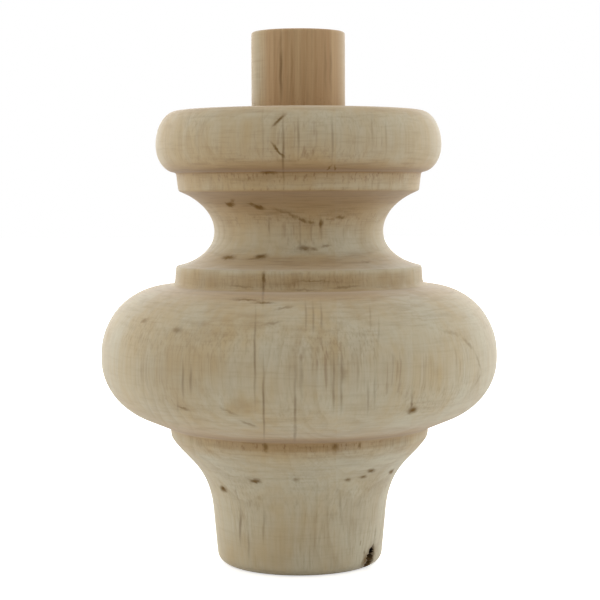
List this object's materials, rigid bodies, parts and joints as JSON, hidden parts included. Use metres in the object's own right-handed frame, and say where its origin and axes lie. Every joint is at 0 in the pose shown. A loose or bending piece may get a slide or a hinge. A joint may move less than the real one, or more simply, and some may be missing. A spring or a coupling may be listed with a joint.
{
  "type": "wooden furniture foot",
  "caption": "Turned wooden furniture foot: a rounded disc, a deep cove and a full bun over a flared narrow ankle, with a round tenon on top that glues into a cabinet, chest or sofa.",
  "frame": {"origin": "centre of the flat base that the foot stands on", "axes": "+Z along the turning axis, up through the tenon; -Y is the front, the side that the picture shows, with +X to the right"},
  "size_m": [0.1078, 0.1078, 0.1445],
  "materials": {
    "bare_wood": "sanded bare wood, no varnish"
  },
  "bodies": {
    "root": {"turned_foot": "bare_wood"}
  },
  "joints": []
}
